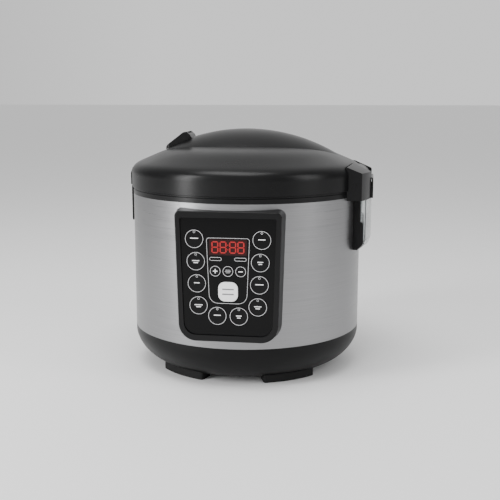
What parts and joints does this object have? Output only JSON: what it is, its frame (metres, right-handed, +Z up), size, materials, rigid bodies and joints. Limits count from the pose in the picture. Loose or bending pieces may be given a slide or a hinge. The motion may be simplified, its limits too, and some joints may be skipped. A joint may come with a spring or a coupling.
{
  "type": "electric multicooker",
  "caption": "Round countertop cooker with a brushed steel body, domed hinged lid with arch handle, front key panel, condensate cup and removable pot.",
  "frame": {"origin": "on the vertical axis of the round body, level with the surface that the feet stand on", "axes": "+Z up; the key panel faces -Y; the lid hinge and condensate cup are on +X; the power inlet is on +Y"},
  "size_m": [0.2788, 0.2665, 0.2682],
  "materials": {
    "black_shell": "satin-gloss moulded",
    "brushed_wrap": "brushed round the body",
    "fascia_black": "high gloss",
    "smoked_window": "smoked, high gloss",
    "key_black": "gloss, ring printed on the cap",
    "key_white": "satin",
    "clear_cup": "clear moulded plastic",
    "rubber_foot": "matte",
    "seal_rubber": "satin silicone",
    "pot_coating": "dark non-stick coating",
    "bare_aluminium": "satin",
    "galvanised": "plain sheet",
    "steel_small": "bright",
    "brass_blade": "bright",
    "inlet_black": "fine matte",
    "board_green": "solder mask",
    "part_grey": "moulded",
    "cover_black": "fine matte"
  },
  "bodies": {
    "body": {"base_cover": "cover_black", "base_pan": "black_shell", "base_screws": "steel_small", "body_wrap": "brushed_wrap", "collar_ring": "black_shell", "control_board": "board_green", "cup_holder": "black_shell", "display_module": "part_grey", "display_window": "smoked_window", "foot_front_left": "rubber_foot", "foot_front_right": "rubber_foot", "foot_rear_left": "rubber_foot", "foot_rear_right": "rubber_foot", "heater_plate": "bare_aluminium", "hinge_housing": "black_shell", "hinge_pin": "steel_small", "hinge_spring": "steel_small", "inlet_blades": "brass_blade", "inner_chamber": "galvanised", "inner_pot": "pot_coating", "key_switches": "part_grey", "panel_bezel": "black_shell", "panel_fascia": "fascia_black", "power_board": "board_green", "power_inlet": "inlet_black", "probe_bracket": "black_shell", "probe_spring": "steel_small", "relay": "part_grey", "transformer": "part_grey"},
    "lid": {"lid_shell": "black_shell", "lid_handle": "black_shell", "lid_liner": "black_shell", "lid_gasket": "seal_rubber", "inner_lid_plate": "bare_aluminium", "plate_grommet": "seal_rubber", "steam_vent_base": "black_shell", "latch_pin": "steel_small"},
    "vent_cap": {"steam_vent_cap": "black_shell"},
    "latch": {"latch_lever": "black_shell"},
    "cup": {"condensate_cup": "clear_cup"},
    "probe": {"thermostat_probe": "bare_aluminium"},
    "key_bottom_left_cap": {"key_bottom_left": "key_black"},
    "key_bottom_right_cap": {"key_bottom_right": "key_black"},
    "key_keep_warm_cap": {"key_keep_warm": "key_white"},
    "key_left_1_cap": {"key_left_1": "key_black"},
    "key_left_2_cap": {"key_left_2": "key_black"},
    "key_left_3_cap": {"key_left_3": "key_black"},
    "key_left_4_cap": {"key_left_4": "key_black"},
    "key_minus_cap": {"key_minus": "key_black"},
    "key_plus_cap": {"key_plus": "key_black"},
    "key_right_1_cap": {"key_right_1": "key_black"},
    "key_right_2_cap": {"key_right_2": "key_black"},
    "key_right_3_cap": {"key_right_3": "key_black"},
    "key_right_4_cap": {"key_right_4": "key_black"},
    "key_timer_cap": {"key_timer": "key_black"}
  },
  "joints": [
    {"name": "lid_hinge", "type": "hinge", "parent": "body", "child": "lid", "pos_m": [0.125, 0, 0.211], "axis": [0, 1, 0], "range_deg": [0, 75]},
    {"name": "latch_pivot", "type": "hinge", "parent": "lid", "child": "latch", "pos_m": [-0.1296, 0, 0.213], "axis": [0, 1, 0], "range_deg": [0, 3.5], "stiffness_Nm_per_rad": 0.3},
    {"name": "vent_cap_lift", "type": "slide", "parent": "lid", "child": "vent_cap", "axis": [0, 0, 1], "range_m": [0, 0.02]},
    {"name": "cup_slide", "type": "slide", "parent": "body", "child": "cup", "axis": [1, 0, 0], "range_m": [0, 0.04]},
    {"name": "probe_slide", "type": "slide", "parent": "body", "child": "probe", "axis": [0, 0, -1], "range_m": [0, 0.003], "stiffness_N_per_m": 400, "deforming": ["probe_spring"]},
    {"name": "key_bottom_left_press", "type": "slide", "parent": "body", "child": "key_bottom_left_cap", "axis": [0, 1, 0], "range_m": [0, 0.0008], "stiffness_N_per_m": 400},
    {"name": "key_bottom_right_press", "type": "slide", "parent": "body", "child": "key_bottom_right_cap", "axis": [0, 1, 0], "range_m": [0, 0.0008], "stiffness_N_per_m": 400},
    {"name": "key_keep_warm_press", "type": "slide", "parent": "body", "child": "key_keep_warm_cap", "axis": [0, 1, 0], "range_m": [0, 0.0008], "stiffness_N_per_m": 400},
    {"name": "key_left_1_press", "type": "slide", "parent": "body", "child": "key_left_1_cap", "axis": [0, 1, 0], "range_m": [0, 0.0008], "stiffness_N_per_m": 400},
    {"name": "key_left_2_press", "type": "slide", "parent": "body", "child": "key_left_2_cap", "axis": [0, 1, 0], "range_m": [0, 0.0008], "stiffness_N_per_m": 400},
    {"name": "key_left_3_press", "type": "slide", "parent": "body", "child": "key_left_3_cap", "axis": [0, 1, 0], "range_m": [0, 0.0008], "stiffness_N_per_m": 400},
    {"name": "key_left_4_press", "type": "slide", "parent": "body", "child": "key_left_4_cap", "axis": [0, 1, 0], "range_m": [0, 0.0008], "stiffness_N_per_m": 400},
    {"name": "key_minus_press", "type": "slide", "parent": "body", "child": "key_minus_cap", "axis": [0, 1, 0], "range_m": [0, 0.0008], "stiffness_N_per_m": 400},
    {"name": "key_plus_press", "type": "slide", "parent": "body", "child": "key_plus_cap", "axis": [0, 1, 0], "range_m": [0, 0.0008], "stiffness_N_per_m": 400},
    {"name": "key_right_1_press", "type": "slide", "parent": "body", "child": "key_right_1_cap", "axis": [0, 1, 0], "range_m": [0, 0.0008], "stiffness_N_per_m": 400},
    {"name": "key_right_2_press", "type": "slide", "parent": "body", "child": "key_right_2_cap", "axis": [0, 1, 0], "range_m": [0, 0.0008], "stiffness_N_per_m": 400},
    {"name": "key_right_3_press", "type": "slide", "parent": "body", "child": "key_right_3_cap", "axis": [0, 1, 0], "range_m": [0, 0.0008], "stiffness_N_per_m": 400},
    {"name": "key_right_4_press", "type": "slide", "parent": "body", "child": "key_right_4_cap", "axis": [0, 1, 0], "range_m": [0, 0.0008], "stiffness_N_per_m": 400},
    {"name": "key_timer_press", "type": "slide", "parent": "body", "child": "key_timer_cap", "axis": [0, 1, 0], "range_m": [0, 0.0008], "stiffness_N_per_m": 400}
  ]
}
